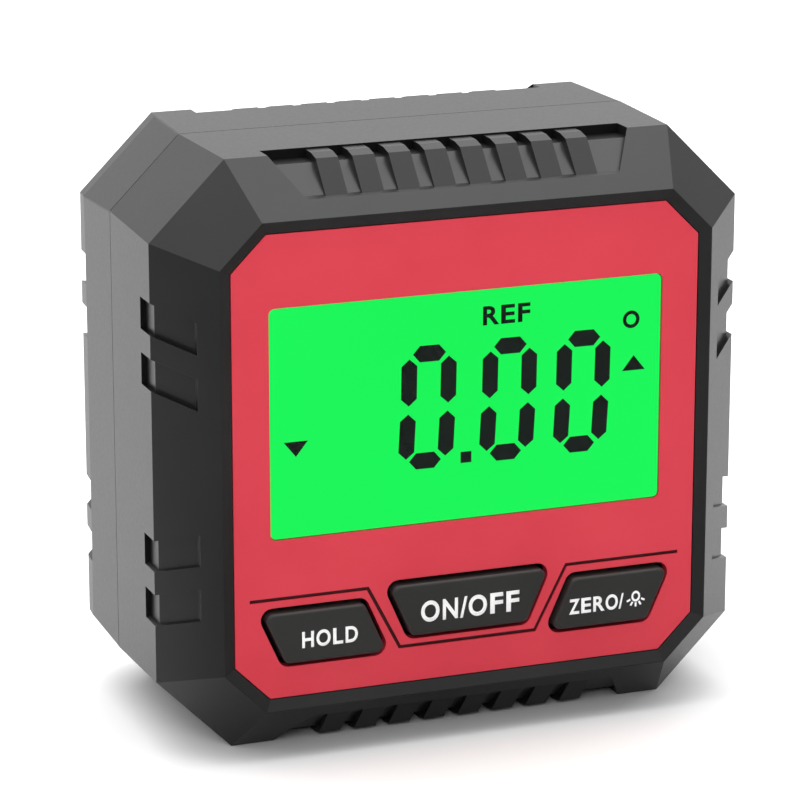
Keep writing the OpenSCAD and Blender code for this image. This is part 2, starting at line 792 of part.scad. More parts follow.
// The front glass stands in the window, right behind the lens
module lcd_glass() color("#1ef55b") {
  slab(seat_y + lens_flange_t, inner_y)
    polygon(rounded(inset(window_outline, panel_gap / 2 - lcd_lap), window_r - panel_gap / 2));
  slab(inner_y, guide_y) polygon(box(glass_w, glass_h, glass_z));
}

module lcd_frame() color("#e9e9e4") {
  difference() {
    slab(inner_y, board_y) polygon(box(frame_w, frame_h, glass_z));
    slab(inner_y - over, frame_back_y) polygon(inset(box(glass_w, glass_h, glass_z), -frame_gap));
    slab(frame_back_y - over, board_y + over)
      polygon(inset(box(glass_w, lcd_ledge, zebra_z), frame_gap));
  }
}

module light_guide() color("#d7f7df") {
  translate([(guide_w - glass_w) / 2, 0, 0]) slab(guide_y, frame_back_y)
    polygon(box(guide_w, guide_h, glass_z + (glass_h - guide_h) / 2));
}

module backlight_led() color("#f2e9b0") {
  translate([(glass_w - led_w) / 2, 0, 0]) slab(guide_y, frame_back_y)
    polygon(box(led_w, led_l, window_z));
}

module zebra_strip() color("#e58fa0") {
  slab(guide_y, board_y) polygon(inset(box(glass_w, lcd_ledge, zebra_z), 2 * frame_gap));
}

// Board

module circuit_board() color("#1f6b3a") {
  a = board_w / 2;
  outline = [[a, board_cut - board_base], [a, board_top], [-a, board_top], [-a, board_cut - board_base],
    [board_cut - a, -board_base], [a - board_cut, -board_base]];
  difference() {
    slab(board_y, board_back_y) polygon(outline);
    for (p = board_places)
      bar(p, board_screw_r + pass_gap, board_y - over, board_back_y + over);
  }
}

module board_part(place, w, h, t) {
  translate([place[0], 0, 0]) slab(board_back_y, board_back_y + t) polygon(box(w, h, place[1]));
}

module controller_chip() color("#202022") {
  board_part(chip_place, chip_w, chip_w, chip_t);
}

module tilt_sensor() color("#2b2b30") {
  board_part(sensor_place, sensor_w, sensor_w, sensor_t);
}

module crystal_can() color(nickel) {
  translate([crystal_place[0], board_back_y + crystal_r, mid_z + crystal_place[1]])
    rotate([0, 90, 0]) cylinder(r = crystal_r, h = crystal_l, center = true);
}

// Keys and their switches

function key_place(pts) = (pts[0] + pts[1] + pts[2] + pts[3]) / 4;

module key(pts) color(key_grey) {
  face = ring(rounded(inset(pts, key_chamfer), key_r - key_chamfer / 2), key_y);
  side = rounded(pts, key_r);
  loft([face, ring(side, key_y + key_chamfer), ring(side, flange_y)]);
  slab(flange_y, nub_y) polygon(rounded(inset(pts, -key_gap - key_flange), key_r + key_gap));
  bar(key_place(pts), plunger_r, nub_y, plunger_y);
}

module tact_switch(pts) color("#2a2a2c") {
  p = key_place(pts);
  difference() {
    translate([p[0], 0, 0]) slab(switch_y, board_y) polygon(box(switch_w, switch_w, p[1]));
    bar(p, plunger_r + plunger_gap, switch_y - over, board_y - plunger_out);
  }
}

module plunger(pts) color("#d0cdc4") {
  bar(key_place(pts), plunger_r, plunger_y, board_y - plunger_out - key_travel - flange_gap);
}

module hold_key() { key(hold_outline); }
module power_key() { key(power_outline); }
module zero_key() { key(zero_outline); }
module hold_switch() { tact_switch(hold_outline); }
module power_switch() { tact_switch(power_outline); }
module zero_switch() { tact_switch(zero_outline); }
module hold_plunger() { plunger(hold_outline); }
module power_plunger() { plunger(power_outline); }
module zero_plunger() { plunger(zero_outline); }

// Battery door, hinged on its lower edge: tabs below, a latch tongue above

module battery_door() color(shell_grey) {
  tab_y = ledge_y - tab_gap;
  neck = tab_t + 2 * door_gap;
  difference() {
    slab(door_y, back_y) polygon(rounded(inset(box(recess_w, recess_h), door_gap), door_r - door_gap));
    for (s = [-1, 1])
      translate([s * (latch_w / 2 + tab_t / 2), 0, 0]) slab(door_y - over, back_y + over)
        polygon(box(tab_t, latch_w, recess_h / 2 - latch_w / 2));
  }
  for (s = [-1, 1])
    translate([s * tab_x, 0, 0]) {
      slab(tab_y - tab_t, door_y) polygon(box(tab_w, neck, door_gap + neck / 2 - bay_h / 2));
      slab(tab_y - tab_t, tab_y)
        polygon(box(tab_w, tab_reach + door_gap + neck, (neck + door_gap - tab_reach - bay_h) / 2));
    }
  slab(ledge_y - door_gap - tab_t, door_y) polygon(box(latch_w, neck, bay_h / 2 - door_gap - neck / 2));
  slab(ledge_y - door_gap - tab_t, ledge_y - door_gap)
    polygon(box(latch_w, latch_reach + door_gap + neck, (bay_h + latch_reach - door_gap - neck) / 2));
}

// Cells and contacts: a cell's cap points along dir

module cell(z, dir) {
  translate([-dir * cell_l / 2, cell_y, mid_z + z]) rotate([0, dir * 90, 0]) {
    cylinder(r = cell_d / 2, h = cell_l - cap_l);
    cylinder(r = cap_d / 2, h = cell_l);
  }
}

module upper_cell() color("#c9c9cc") { cell(cell_z, -1); }
module lower_cell() color("#c9c9cc") { cell(-cell_z, 1); }

// A conical coil from the contact sheet towards the cell, as rings of six points along its helix
module coil(x, z, dir) {
  steps = 12 * spring_turns;
  wire_sink = wire_d / 3;
  lift = spring_l - wire_sink - wire_d / 2 - cell_gap / 2;
  path = [for (i = [0 : steps]) let (t = i / steps, r = spring_r + (spring_tip_r - spring_r) * t, a = 30 * i)
    [x + dir * (wire_sink + lift * t), cell_y + r * cos(a), mid_z + z + dir * r * sin(a)]];
  wires = [for (i = [0 : steps]) let (a = 30 * i, out = [0, cos(a), dir * sin(a)])
    [for (k = [0 : 5]) path[i] + wire_d / 2 * (cos(60 * k) * out + sin(60 * k) * [dir, 0, 0])]];
  loft(wires);
}

module contact_plate(x, z, h) {
  translate([x, 0, 0]) slab(bay_y, cell_y + contact_w / 2) polygon(box(contact_t, h, z));
}

module dimple(x, z, dir) {
  translate([x, cell_y, mid_z + z]) rotate([0, dir * 90, 0])
    cylinder(r1 = dimple_r, r2 = dimple_tip_r, h = spring_l - cell_gap / 2);
}

module solder_tail(z) {
  translate([left_x, 0, 0]) slab(board_back_y, bay_y) polygon(box(contact_t, tail_w, z));
}

module positive_contact() color(nickel) {
  contact_plate(left_x, cell_z, contact_w);
  dimple(left_face, cell_z, 1);
  solder_tail(cell_z);
}

module negative_contact() color(nickel) {
  contact_plate(left_x, -cell_z, contact_w);
  coil(left_face, -cell_z, 1);
  solder_tail(-cell_z);
}

module bridge_contact() color(nickel) {
  contact_plate(-left_x, 0, 2 * cell_z + contact_w);
  dimple(-left_face, -cell_z, -1);
  coil(-left_face, cell_z, -1);
}

// Base and fasteners

module base_magnets() color("#a9abad") {
  magnet_places() translate([0, 0, magnet_sink]) cylinder(r = magnet_r, h = magnet_t);
}

module case_screws() color(nickel) {
  seat = split_y + post_floor;
  for (p = case_places) {
    bar(p, screw_r, seat - screw_l, seat);
    bar(p, head_r, seat, seat + head_h);
  }
}

module board_screws() color(nickel) {
  for (p = board_places) {
    bar(p, board_screw_r, inner_y + over, board_back_y);
    bar(p, board_boss_r, board_back_y, board_back_y + board_screw_r);
  }
}

front_shell();
back_shell();
face_panel();
display_lens();
lcd_glass();
lcd_frame();
light_guide();
backlight_led();
zebra_strip();
circuit_board();
controller_chip();
tilt_sensor();
crystal_can();
hold_key();
power_key();
zero_key();
hold_switch();
power_switch();
zero_switch();
hold_plunger();
power_plunger();
zero_plunger();
battery_door();
upper_cell();
lower_cell();
positive_contact();
negative_contact();
bridge_contact();
base_magnets();
case_screws();
board_screws();
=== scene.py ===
import math

import bmesh
import bpy
from mathutils import Matrix, Vector


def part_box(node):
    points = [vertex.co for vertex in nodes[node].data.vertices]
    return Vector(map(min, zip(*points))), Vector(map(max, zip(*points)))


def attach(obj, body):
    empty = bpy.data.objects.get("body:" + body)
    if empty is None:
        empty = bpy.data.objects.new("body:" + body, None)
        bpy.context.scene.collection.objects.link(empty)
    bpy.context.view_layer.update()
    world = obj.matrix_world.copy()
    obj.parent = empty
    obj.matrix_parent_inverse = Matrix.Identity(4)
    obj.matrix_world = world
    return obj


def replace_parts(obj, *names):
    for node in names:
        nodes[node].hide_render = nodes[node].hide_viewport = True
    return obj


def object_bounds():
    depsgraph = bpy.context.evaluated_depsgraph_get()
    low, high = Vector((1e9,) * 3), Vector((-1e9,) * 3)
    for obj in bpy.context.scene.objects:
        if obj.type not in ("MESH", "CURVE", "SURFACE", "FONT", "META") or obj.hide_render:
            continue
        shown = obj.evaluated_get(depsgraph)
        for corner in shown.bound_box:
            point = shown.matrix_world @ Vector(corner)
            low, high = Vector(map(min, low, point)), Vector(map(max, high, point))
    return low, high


# digital angle gauge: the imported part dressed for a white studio, in metres
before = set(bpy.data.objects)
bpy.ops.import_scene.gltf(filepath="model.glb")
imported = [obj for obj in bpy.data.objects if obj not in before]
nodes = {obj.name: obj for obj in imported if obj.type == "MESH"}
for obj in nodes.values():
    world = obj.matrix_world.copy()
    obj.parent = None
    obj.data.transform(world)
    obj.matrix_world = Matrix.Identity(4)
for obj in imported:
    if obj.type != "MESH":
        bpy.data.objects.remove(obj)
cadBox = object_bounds()
mm = 0.001
midHeight = cadBox[1].z / 2
mergeReach = 0.0005 * mm            # points nearer to each other than this become one
print("frame loaded:", len(nodes), "pieces")


# colours and nodes

def srgb(hexColour):   # "#rrggbb" as linear RGBA
    parts = [int(hexColour[i:i + 2], 16) / 255 for i in (1, 3, 5)]
    return [c / 12.92 if c <= 0.04045 else ((c + 0.055) / 1.055) ** 2.4 for c in parts] + [1.0]


def addNode(tree, kind, inputs=None, **settings):   # one node, its settings, then its values and links
    node = tree.nodes.new(kind)
    for name, value in settings.items():
        setattr(node, name, value)
    for name, value in (inputs or {}).items():
        if isinstance(value, bpy.types.NodeSocket):
            tree.links.new(value, node.inputs[name])
        else:
            node.inputs[name].default_value = value
    return node


def startMaterial(name, **sockets):   # a Principled material and what its pattern nodes hang on
    material = bpy.data.materials.new(name)
    material.use_nodes = True
    tree = material.node_tree
    shader = tree.nodes["Principled BSDF"]
    for socket, value in sockets.items():
        shader.inputs[socket.replace("_", " ")].default_value = value
    place = addNode(tree, "ShaderNodeTexCoord").outputs["Object"]
    return material, tree, shader, place


# what the moulded, milled and plated surfaces share
surface = {
    "cloud": 9 * mm,                # size of the patches of lighter and darker tint
    "spread": (0.3, 0.7),           # nearly all of a noise's values lie between these
    "pitDepth": 0.02 * mm,
}


def grain(tree, shader, place, size, colours, rough, bump):
    # cloudy tint, uneven gloss and pits of the given size in mm, drawn coarser than real ones so that they show
    low, high = surface["spread"]
    cloud = addNode(tree, "ShaderNodeTexNoise", {"Vector": place, "Scale": 1 / surface["cloud"],
                                                 "Detail": 3.0})
    tint = addNode(tree, "ShaderNodeValToRGB", {"Fac": cloud.outputs["Fac"]})
    first, last = tint.color_ramp.elements
    first.position, last.position = low, high
    first.color, last.color = srgb(colours[0]), srgb(colours[1])
    pits = addNode(tree, "ShaderNodeTexNoise", {"Vector": place, "Scale": 1 / (size * mm), "Detail": 2.0})
    gloss = addNode(tree, "ShaderNodeMapRange", {"Value": pits.outputs["Fac"],
                                                 "From Min": low, "From Max": high,
                                                 "To Min": rough[0], "To Max": rough[1]})
    relief = addNode(tree, "ShaderNodeBump", {"Height": pits.outputs["Fac"], "Strength": bump,
                                              "Distance": surface["pitDepth"]})
    tree.links.new(tint.outputs["Color"], shader.inputs["Base Color"])
    tree.links.new(gloss.outputs["Result"], shader.inputs["Roughness"])
    tree.links.new(relief.outputs["Normal"], shader.inputs["Normal"])
    return tint


# ABS moulded in a spark-eroded tool: near black face on, pale where it mirrors the studio at a slant
shellAbs, tree, shader, place = startMaterial("black_abs_spark_eroded", IOR=1.5)
grain(tree, shader, place, 0.35, ("#131313", "#181819"), (0.31, 0.35), 0.025)

# the slope round the face is the same ABS, satin, painted a little greyer than the shell: a painted lift that
# stands in for the light the slope catches
rimAbsPaintedLighter, tree, shader, place = startMaterial("black_abs_painted_lighter", IOR=1.5, Specular_IOR_Level=0.4)
grain(tree, shader, place, 0.35, ("#262626", "#2a2a2a"), (0.4, 0.46), 0.05)

# the keys are the same ABS in a finer finish, greyer still
keyAbs, tree, shader, place = startMaterial("dark_abs_satin", IOR=1.5)
grain(tree, shader, place, 0.3, ("#313130", "#353534"), (0.36, 0.42), 0.05)

# the panel is red ABS with a satin face: a weak gloss that leaves the red deep
panelRed, tree, shader, place = startMaterial("red_abs_satin", IOR=1.5, Specular_IOR_Level=0.25)
grain(tree, shader, place, 0.4, ("#d23646", "#d63b4a"), (0.42, 0.5), 0.03)

# dark maroon laid on the floor of the engraved line: dark and dull
lineMaroon, tree, shader, place = startMaterial("maroon_engraved_line", IOR=1.5)
grain(tree, shader, place, 0.3, ("#3a0a10", "#4a0e15"), (0.5, 0.6), 0.05)

# clear acrylic: polished in faint waves, so it shows the lit display with little reflection
lensAcrylic, tree, shader, place = startMaterial("clear_acrylic", IOR=1.3, Transmission_Weight=1.0,
                                                 Base_Color=srgb("#ffffff"))
waves = addNode(tree, "ShaderNodeTexNoise", {"Vector": place, "Scale": 1 / (6 * mm), "Detail": 2.0})
polish = addNode(tree, "ShaderNodeMapRange", {"Value": waves.outputs["Fac"], "To Min": 0.01, "To Max": 0.03})
tree.links.new(polish.outputs["Result"], shader.inputs["Roughness"])

# liquid crystal glass lit from behind by a green light bar: an almost even glow
displayGlass, tree, shader, place = startMaterial("backlit_display_glass", Roughness=0.3,
                                                  Base_Color=srgb("#05140a"), Emission_Strength=1.0)
patches = addNode(tree, "ShaderNodeTexNoise", {"Vector": place, "Scale": 1 / (30 * mm), "Detail": 1.0})
glow = addNode(tree, "ShaderNodeValToRGB", {"Fac": patches.outputs["Fac"]})
first, last = glow.color_ramp.elements
first.color, last.color = srgb("#1bf056"), srgb("#20f85f")
tree.links.new(glow.outputs["Color"], shader.inputs["Emission Color"])

# a switched-on segment blocks the light: almost black
segmentInk, tree, shader, place = startMaterial("display_segment_black", Specular_IOR_Level=0.1)
grain(tree, shader, place, 0.3, ("#2d2d30", "#333336"), (0.45, 0.55), 0.03)

# screen-printed white ink: flat, matt and bright
labelInk, tree, shader, place = startMaterial("white_print_ink", IOR=1.5)
grain(tree, shader, place, 0.25, ("#f2f2f2", "#fafafa"), (0.5, 0.6), 0.05)

# white polycarbonate that keeps the backlight in
frameWhite, tree, shader, place = startMaterial("white_polycarbonate", IOR=1.58)
grain(tree, shader, place, 0.4, ("#e4e4de", "#ecece8"), (0.4, 0.5), 0.08)

# acrylic light guide, milky from its printed dots
guideAcrylic, tree, shader, place = startMaterial("dotted_acrylic", IOR=1.49)
grain(tree, shader, place, 0.8, ("#cdeed6", "#e2fae8"), (0.25, 0.4), 0.1)

# cast epoxy over the light bar, amber and glossy
ledResin, tree, shader, place = startMaterial("amber_epoxy", IOR=1.52)
grain(tree, shader, place, 0.5, ("#e6d88c", "#f2e9b0"), (0.15, 0.25), 0.05)

# silicone rubber with conducting layers: soft and dull
zebraRubber, tree, shader, place = startMaterial("layered_silicone_rubber", IOR=1.41)
grain(tree, shader, place, 0.2, ("#c77483", "#e08c9c"), (0.6, 0.75), 0.1)

# glass-epoxy board under green solder mask
boardMask, tree, shader, place = startMaterial("green_solder_mask", IOR=1.5)
grain(tree, shader, place, 0.6, ("#0f5a2d", "#176b38"), (0.25, 0.35), 0.15)

# moulded epoxy of chips and switches: black and dull
chipResin, tree, shader, place = startMaterial("moulded_epoxy", IOR=1.55)
grain(tree, shader, place, 0.2, ("#1a1a1b", "#242425"), (0.55, 0.7), 0.15)

# nickel plate on stamped spring steel: bright and slightly uneven
nickelPlate, tree, shader, place = startMaterial("nickel_plated_steel", Metallic=1.0)
grain(tree, shader, place, 0.3, ("#b4b0a4", "#c9c5ba"), (0.2, 0.32), 0.1)

# sintered magnets under nickel: greyer and softer than the contacts
magnetPlate, tree, shader, place = startMaterial("nickel_plated_magnet", Metallic=1.0)
grain(tree, shader, place, 0.4, ("#9a9b9c", "#adaeaf"), (0.28, 0.4), 0.12)

# zinc-plated screws: cool grey and half dull
screwZinc, tree, shader, place = startMaterial("zinc_plated_steel", Metallic=1.0)
grain(tree, shader, place, 0.2, ("#8f9296", "#a8abb0"), (0.28, 0.42), 0.15)

# a battery's shrunk film sleeve over a steel can: satin graphite, bare steel at both ends
cellSleeve, tree, shader, place = startMaterial("printed_film_sleeve", IOR=1.5)
sleeveTint = grain(tree, shader, place, 0.5, ("#2d3238", "#343a41"), (0.25, 0.35), 0.05)
bareEnd = 1.6 * mm                  # how much of the can the sleeve leaves bare at each end
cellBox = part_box("upper_cell")
sleeveEnd = (cellBox[1].x - cellBox[0].x) / 2 - bareEnd
axes = addNode(tree, "ShaderNodeSeparateXYZ", {"Vector": place})
along = addNode(tree, "ShaderNodeMath", {0: axes.outputs["X"]}, operation="ABSOLUTE")
bare = addNode(tree, "ShaderNodeMath", {0: along.outputs[0], 1: sleeveEnd}, operation="GREATER_THAN")
can = addNode(tree, "ShaderNodeMix", {"Factor": bare.outputs[0], "A": sleeveTint.outputs["Color"],
                                      "B": srgb("#b9bbbd")}, data_type="RGBA")
tree.links.new(can.outputs["Result"], shader.inputs["Base Color"])
tree.links.new(bare.outputs[0], shader.inputs["Metallic"])

finishes = {
    shellAbs: ("front_shell", "back_shell", "battery_door"),
    keyAbs: ("hold_key", "power_key", "zero_key"),
    panelRed: ("face_panel",),
    lensAcrylic: ("display_lens",),
    displayGlass: ("lcd_glass",),
    frameWhite: ("lcd_frame", "hold_plunger", "power_plunger", "zero_plunger"),
    guideAcrylic: ("light_guide",),
    ledResin: ("backlight_led",),
    zebraRubber: ("zebra_strip",),
    boardMask: ("circuit_board",),
    chipResin: ("controller_chip", "tilt_sensor", "hold_switch", "power_switch", "zero_switch"),
    nickelPlate: ("crystal_can", "positive_contact", "negative_contact", "bridge_contact"),
    magnetPlate: ("base_magnets",),
    screwZinc: ("case_screws", "board_screws"),
    cellSleeve: ("upper_cell", "lower_cell"),
}
for material, names in finishes.items():
    for name in names:
        nodes[name].data.materials.clear()
        nodes[name].data.materials.append(material)
print("finishes:", len(finishes), "materials on", sum(len(n) for n in finishes.values()), "nodes")


# pieces

def newPiece(name, bm, material, body):
    mesh = bpy.data.meshes.new(name)
    bm.to_mesh(mesh)
    bm.free()
    piece = bpy.data.objects.new(name, mesh)
    bpy.context.scene.collection.objects.link(piece)
    mesh.materials.append(material)
    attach(piece, body)
    return piece


# shells with the small radius that a mould leaves on the long outer edges
shells = {
    "radius": 0.16 * mm,
    "segments": 2,
    "flat": math.radians(0.5),      # triangles that turn less than this become one face
    "sharp": math.radians(18),      # edges that turn less than this stay as they are
    "shortest": 3.0 * mm,           # shorter edges belong to ribs and pockets
    "inwards": -0.05,               # and so do faces that look further inwards than this
    "frontClear": 0.3 * mm,         # how far a rounded edge keeps from the plane of the front
    "partingClear": 0.5 * mm,       # and from the parting line
    "slopeSlack": 0.01 * mm,        # how far past the panel's face the slope round it may reach
}


def sharpEdge(edge):   # true where two faces meet at a clear angle
    return len(edge.link_faces) == 2 and edge.calc_face_angle() > shells["sharp"]


def outerEdge(edge, reach):   # true for a long convex edge of the outside, between two places along Y
    if not sharpEdge(edge) or not edge.is_convex or edge.calc_length() < shells["shortest"]:
        return False
    middle = (edge.verts[0].co + edge.verts[1].co) / 2
    if not reach[0] < middle.y < reach[1]:
        return False
    outwards = Vector((middle.x, 0, middle.z - midHeight)).normalized()
    return all(f.normal.dot(outwards) > shells["inwards"] for f in edge.link_faces)


def softPiece(name, node, chosen, radius, material, body):   # a node's copy with some edges rounded
    bm = bmesh.new()
    bm.from_mesh(nodes[node].data)
    bmesh.ops.remove_doubles(bm, verts=bm.verts, dist=mergeReach)
    bmesh.ops.dissolve_limit(bm, angle_limit=shells["flat"], verts=bm.verts, edges=bm.edges)
    for f in bm.faces:
        f.smooth = False
    edges = [e for e in bm.edges if chosen(e)]
    bmesh.ops.bevel(bm, geom=edges, offset=radius, offset_type="OFFSET", segments=shells["segments"],
                    profile=0.5, affect="EDGES", material=-1, clamp_overlap=True)
    print(name, "softened edges:", len(edges))
    piece = newPiece(name, bm, material, body)
    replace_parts(piece, node)
    return piece


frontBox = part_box("front_shell")
frontReach = frontBox[0].y + shells["frontClear"], frontBox[1].y - shells["partingClear"]
backReach = frontBox[1].y + shells["partingClear"], math.inf
housing = softPiece("front_housing", "front_shell", lambda e: outerEdge(e, frontReach), shells["radius"],
                    shellAbs, "housing").data
softPiece("back_housing", "back_shell", lambda e: outerEdge(e, backReach), shells["radius"],
          shellAbs, "housing")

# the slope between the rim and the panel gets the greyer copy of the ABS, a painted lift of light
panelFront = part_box("face_panel")[0].y
housing.materials.append(rimAbsPaintedLighter)
for f in housing.polygons:
    if all(housing.vertices[v].co.y < panelFront + shells["slopeSlack"] for v in f.vertices):
        f.material_index = 1

# keys with both edges of their chamfers rounded
keys = {
    "radius": 0.09 * mm,
    "skin": 0.25 * mm,              # the chamfer lies within this of a key's front
}
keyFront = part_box("power_key")[0].y


def chamferEdge(edge):
    return sharpEdge(edge) and all(v.co.y < keyFront + keys["skin"] for v in edge.verts)


for body in ("hold", "power", "zero"):
    softPiece(body + "_cap", body + "_key", chamferEdge, keys["radius"], keyAbs, body)

# battery door with the rim of its outside rounded
door = {
    "radius": 0.16 * mm,
    "skin": 0.01 * mm,              # the rim lies within this of the door's outside
}
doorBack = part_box("battery_door")[1].y


def doorRim(edge):
    return sharpEdge(edge) and all(v.co.y > doorBack - door["skin"] for v in edge.verts)


softPiece("door_plate", "battery_door", doorRim, door["radius"], shellAbs, "door")

# case screws with a cross recess in the head, seen down their holes; all in mm
screws = {
    "places": ((20.5, 21.3), (22.2, -20.0)),    # across and up from the gauge's middle, on both sides
    "head": 1.9, "height": 1.4,                 # the head's radius and height
    "round": 0.25,                              # the rounding of its rim
    "shank": 1.0, "length": 10.0,               # the shank's radius and length
    "slot": 0.36, "reach": 1.2, "sink": 0.9,    # half width, half length and depth of the cross
    "rimFrom": 0.98,                            # points beyond this share of the radius are on the rim
}


def vertsOf(geom):   # the vertices among what an operator made
    return [v for v in geom if isinstance(v, bmesh.types.BMVert)]


def addScrew(bm, place):   # one screw in mm along Z, then turned to point along Y and set in its place
    part = bmesh.new()
    bmesh.ops.create_circle(part, cap_ends=True, segments=32, radius=screws["head"])
    for normal in ((1, 0, 0), (0, 1, 0)):
        for cut in (-screws["reach"], -screws["slot"], screws["slot"], screws["reach"]):
            bmesh.ops.bisect_plane(part, geom=part.verts[:] + part.edges[:] + part.faces[:],
                                   plane_co=Vector(normal) * cut, plane_no=normal)
    cross = []
    for f in part.faces:
        near, far = sorted(map(abs, f.calc_center_median().xy))
        if near < screws["slot"] and far < screws["reach"]:
            cross.append(f)
    sunk = bmesh.ops.extrude_face_region(part, geom=cross)["geom"]
    bmesh.ops.translate(part, vec=(0, 0, -screws["sink"]), verts=vertsOf(sunk))
    bmesh.ops.delete(part, geom=cross, context="FACES")
    rimFrom = screws["head"] * screws["rimFrom"]
    rim = [e for e in part.edges if e.is_boundary and min(v.co.length for v in e.verts) > rimFrom]
    side = bmesh.ops.extrude_edge_only(part, edges=rim)["geom"]
    bmesh.ops.translate(part, vec=(0, 0, -screws["height"]), verts=vertsOf(side))
    bmesh.ops.holes_fill(part, edges=[e for e in side if isinstance(e, bmesh.types.BMEdge)], sides=0)
    bmesh.ops.bevel(part, geom=rim, offset=screws["round"], offset_type="OFFSET", segments=3, profile=0.5,
                    affect="EDGES", material=-1)
    shank = bmesh.ops.create_cone(part, cap_ends=True, segments=16, radius1=screws["shank"],
                                  radius2=screws["shank"], depth=screws["length"])["verts"]
    bmesh.ops.translate(part, vec=(0, 0, -screws["height"] - screws["length"] / 2), verts=shank)
    bmesh.ops.recalc_face_normals(part, faces=part.faces)
    bmesh.ops.rotate(part, cent=(0, 0, 0), matrix=Matrix.Rotation(math.radians(-90), 3, "X"),
                     verts=part.verts)
    bmesh.ops.scale(part, vec=(mm, mm, mm), verts=part.verts)
    bmesh.ops.translate(part, vec=place, verts=part.verts)
    made = bpy.data.meshes.new("screw")
    part.to_mesh(made)
    part.free()
    bm.from_mesh(made)
    bpy.data.meshes.remove(made)


bm = bmesh.new()
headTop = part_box("case_screws")[1].y
for x, z in screws["places"]:
    for side in (-1, 1):
        addScrew(bm, (side * x * mm, headTop, midHeight + z * mm))
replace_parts(newPiece("cross_screws", bm, screwZinc, "housing"), "case_screws")
print("shells, keys, door and screws shaped")


# print, the engraved line's maroon floor and display signs: flat shapes in mm, across and up from the gauge's
# middle, made solid ink

ink = {
    "depth": 0.02 * mm,
    "weight": 0.026,                # thickening of the font's strokes, for a bold cut
}


def layInk(bm, shift, y):   # a flat shape moves to its plane across Y and gets its depth towards -Y
    for v in bm.verts:
        v.co = ((v.co.x + shift[0]) * mm, y, midHeight + (v.co.y + shift[1]) * mm)
    bmesh.ops.remove_doubles(bm, verts=bm.verts, dist=mergeReach)
    shape = list(bm.faces)
    for f in shape:
        f.normal_update()
        if f.normal.y > 0:
            f.normal_flip()
    grown = bmesh.ops.extrude_face_region(bm, geom=shape, use_keep_orig=True)["geom"]
    bmesh.ops.translate(bm, vec=(0, -ink["depth"], 0), verts=vertsOf(grown))
    bmesh.ops.recalc_face_normals(bm, faces=bm.faces)


def addRing(bm, segments, radius, width):   # a flat ring round the origin
    bmesh.ops.create_circle(bm, cap_ends=True, segments=segments, radius=radius)
    bmesh.ops.inset_individual(bm, faces=bm.faces[:], thickness=width, use_even_offset=True)
    bmesh.ops.delete(bm, geom=[f for f in bm.faces if len(f.verts) > 4], context="FACES")


def letterMesh(letter):   # one letter of the built-in font as a flat mesh
    curve = bpy.data.curves.new("letter", "FONT")
    curve.body = letter
    curve.offset = ink["weight"]
    curve.resolution_u = 6
    flat = bpy.data.objects.new("letter", curve)
    bpy.context.scene.collection.objects.link(flat)
    bpy.context.view_layer.update()
    mesh = bpy.data.meshes.new_from_object(flat)
    bpy.data.objects.remove(flat)
    bpy.data.curves.remove(curve)
    return mesh


# plain bold capitals, in thousandths of their size: where each one's ink starts and ends, and its step
letters = {
    "H": (73, 646, 722), "O": (43, 733, 778), "L": (77, 566, 611), "D": (72, 674, 722),
    "N": (74, 642, 722), "Z": (10, 595, 611), "E": (73, 623, 667), "R": (73, 721, 722),
    "F": (74, 563, 611), "/": (0, 277, 278),
}


def placeText(name, words, box, shift, y, material, body):   # words that fill their box
    bm = bmesh.new()
    pen = 0
    for letter in words:
        mesh = letterMesh(letter)
        before = len(bm.verts)
        bm.from_mesh(mesh)
        bpy.data.meshes.remove(mesh)
        made = list(bm.verts)[before:]
        start, end, step = letters[letter]
        left, right = min(v.co.x for v in made), max(v.co.x for v in made)
        for v in made:
            v.co.x = pen + start + (v.co.x - left) / (right - left) * (end - start)
        pen += step
    low = Vector((min(v.co.x for v in bm.verts), min(v.co.y for v in bm.verts)))
    high = Vector((max(v.co.x for v in bm.verts), max(v.co.y for v in bm.verts)))
    scale = (box[2] - box[0]) / (high.x - low.x), (box[3] - box[1]) / (high.y - low.y)
    for v in bm.verts:
        v.co = ((v.co.x - low.x) * scale[0] + box[0], (v.co.y - low.y) * scale[1] + box[1], 0)
    layInk(bm, shift, y)
    newPiece(name, bm, material, body)


# words on the keys: left, low, right and high ends of their boxes
labels = {
    "hold_label": ("HOLD", (-17.2, -17.8, -11.55, -16.13), "hold"),
    "power_label": ("ON/OFF", (-5.08, -16.7, 5.12, -14.55), "power"),
    "zero_label": ("ZERO/", (10.4, -17.8, 16.2, -16.2), "zero"),
}
for name, (words, box, body) in labels.items():
    placeText(name, words, box, (0, 0), keyFront, labelInk, body)

# the lamp sign on the zero key: a bulb's ring with five rays under it
lampSign = {
    "centre": (17.5, -16.7),
    "width": 0.94, "height": 1.12,              # of the ring
    "line": 0.2,
    "rays": (206, 239, 270, 301, 334),          # in degrees, anticlockwise from the right
    "start": 0.64, "end": 1.06,                 # how far from the centre a ray starts and ends
}
bm = bmesh.new()
addRing(bm, 24, 1.0, 2 * lampSign["line"] / lampSign["width"])
bmesh.ops.scale(bm, vec=(lampSign["width"] / 2, lampSign["height"] / 2, 1), verts=bm.verts)
for angle in lampSign["rays"]:
    ray = bmesh.ops.create_grid(bm, x_segments=1, y_segments=1, size=0.5)["verts"]
    bmesh.ops.scale(bm, vec=(lampSign["end"] - lampSign["start"], lampSign["line"], 1), verts=ray)
    bmesh.ops.translate(bm, vec=((lampSign["start"] + lampSign["end"]) / 2, 0, 0), verts=ray)
    bmesh.ops.rotate(bm, cent=(0, 0, 0), matrix=Matrix.Rotation(math.radians(angle), 3, "Z"), verts=ray)
layInk(bm, lampSign["centre"], keyFront)
newPiece("lamp_sign", bm, labelInk, "zero")
print("key labels placed")
